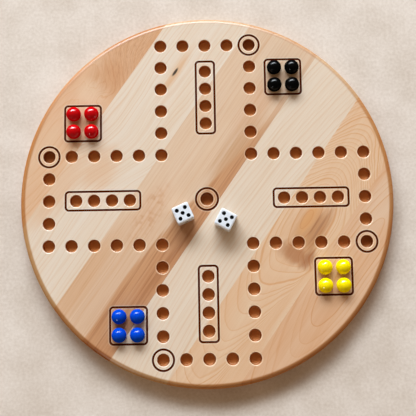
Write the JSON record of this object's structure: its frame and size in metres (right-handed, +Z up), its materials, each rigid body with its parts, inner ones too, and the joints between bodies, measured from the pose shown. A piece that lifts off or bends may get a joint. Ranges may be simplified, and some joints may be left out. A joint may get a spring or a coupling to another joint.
{
  "type": "marble race game board",
  "caption": "Round edge-glued maple board with a cross-shaped track of marble holes, engraved home rows and bases, and its loose coloured marbles and dice.",
  "frame": {"origin": "middle of the board's underside, on the surface that it lies on", "axes": "+Z up through the board's thickness, +Y towards the arm with the black marbles' start hole, +X towards the arm with the yellow marbles' start hole"},
  "size_m": [0.406, 0.406, 0.038],
  "materials": {
    "stave_1_maple": "satin lacquered hard maple, lines and holes burnt brown",
    "stave_2_maple": "satin lacquered hard maple, lines and holes burnt brown",
    "stave_3_maple": "satin lacquered hard maple, lines and holes burnt brown",
    "stave_4_maple": "satin lacquered hard maple, lines and holes burnt brown",
    "stave_5_maple": "satin lacquered hard maple, lines and holes burnt brown",
    "stave_6_maple": "satin lacquered hard maple, lines and holes burnt brown",
    "black_glass": "polished opaque glass",
    "yellow_glass": "polished opaque glass",
    "blue_glass": "polished opaque glass",
    "red_glass": "polished opaque glass",
    "die_white": "polished white acrylic",
    "pip_paint": "black paint"
  },
  "bodies": {
    "board": {"stave_1": "stave_1_maple", "stave_2": "stave_2_maple", "stave_3": "stave_3_maple", "stave_4": "stave_4_maple", "stave_5": "stave_5_maple", "stave_6": "stave_6_maple"},
    "black_marble_1": {"black_marble_1": "black_glass"},
    "black_marble_2": {"black_marble_2": "black_glass"},
    "black_marble_3": {"black_marble_3": "black_glass"},
    "black_marble_4": {"black_marble_4": "black_glass"},
    "yellow_marble_1": {"yellow_marble_1": "yellow_glass"},
    "yellow_marble_2": {"yellow_marble_2": "yellow_glass"},
    "yellow_marble_3": {"yellow_marble_3": "yellow_glass"},
    "yellow_marble_4": {"yellow_marble_4": "yellow_glass"},
    "blue_marble_1": {"blue_marble_1": "blue_glass"},
    "blue_marble_2": {"blue_marble_2": "blue_glass"},
    "blue_marble_3": {"blue_marble_3": "blue_glass"},
    "blue_marble_4": {"blue_marble_4": "blue_glass"},
    "red_marble_1": {"red_marble_1": "red_glass"},
    "red_marble_2": {"red_marble_2": "red_glass"},
    "red_marble_3": {"red_marble_3": "red_glass"},
    "red_marble_4": {"red_marble_4": "red_glass"},
    "left_die": {"left_die": "die_white", "left_die_pips": "pip_paint"},
    "right_die": {"right_die": "die_white", "right_die_pips": "pip_paint"}
  },
  "joints": [
    {"name": "black_marble_1_lift", "type": "slide", "parent": "board", "child": "black_marble_1", "axis": [0, 0, 1], "range_m": [0, 0.06]},
    {"name": "black_marble_2_lift", "type": "slide", "parent": "board", "child": "black_marble_2", "axis": [0, 0, 1], "range_m": [0, 0.06]},
    {"name": "black_marble_3_lift", "type": "slide", "parent": "board", "child": "black_marble_3", "axis": [0, 0, 1], "range_m": [0, 0.06]},
    {"name": "black_marble_4_lift", "type": "slide", "parent": "board", "child": "black_marble_4", "axis": [0, 0, 1], "range_m": [0, 0.06]},
    {"name": "yellow_marble_1_lift", "type": "slide", "parent": "board", "child": "yellow_marble_1", "axis": [0, 0, 1], "range_m": [0, 0.06]},
    {"name": "yellow_marble_2_lift", "type": "slide", "parent": "board", "child": "yellow_marble_2", "axis": [0, 0, 1], "range_m": [0, 0.06]},
    {"name": "yellow_marble_3_lift", "type": "slide", "parent": "board", "child": "yellow_marble_3", "axis": [0, 0, 1], "range_m": [0, 0.06]},
    {"name": "yellow_marble_4_lift", "type": "slide", "parent": "board", "child": "yellow_marble_4", "axis": [0, 0, 1], "range_m": [0, 0.06]},
    {"name": "blue_marble_1_lift", "type": "slide", "parent": "board", "child": "blue_marble_1", "axis": [0, 0, 1], "range_m": [0, 0.06]},
    {"name": "blue_marble_2_lift", "type": "slide", "parent": "board", "child": "blue_marble_2", "axis": [0, 0, 1], "range_m": [0, 0.06]},
    {"name": "blue_marble_3_lift", "type": "slide", "parent": "board", "child": "blue_marble_3", "axis": [0, 0, 1], "range_m": [0, 0.06]},
    {"name": "blue_marble_4_lift", "type": "slide", "parent": "board", "child": "blue_marble_4", "axis": [0, 0, 1], "range_m": [0, 0.06]},
    {"name": "red_marble_1_lift", "type": "slide", "parent": "board", "child": "red_marble_1", "axis": [0, 0, 1], "range_m": [0, 0.06]},
    {"name": "red_marble_2_lift", "type": "slide", "parent": "board", "child": "red_marble_2", "axis": [0, 0, 1], "range_m": [0, 0.06]},
    {"name": "red_marble_3_lift", "type": "slide", "parent": "board", "child": "red_marble_3", "axis": [0, 0, 1], "range_m": [0, 0.06]},
    {"name": "red_marble_4_lift", "type": "slide", "parent": "board", "child": "red_marble_4", "axis": [0, 0, 1], "range_m": [0, 0.06]},
    {"name": "left_die_lift", "type": "slide", "parent": "board", "child": "left_die", "axis": [0, 0, 1], "range_m": [0, 0.06]},
    {"name": "right_die_lift", "type": "slide", "parent": "board", "child": "right_die", "axis": [0, 0, 1], "range_m": [0, 0.06]}
  ]
}
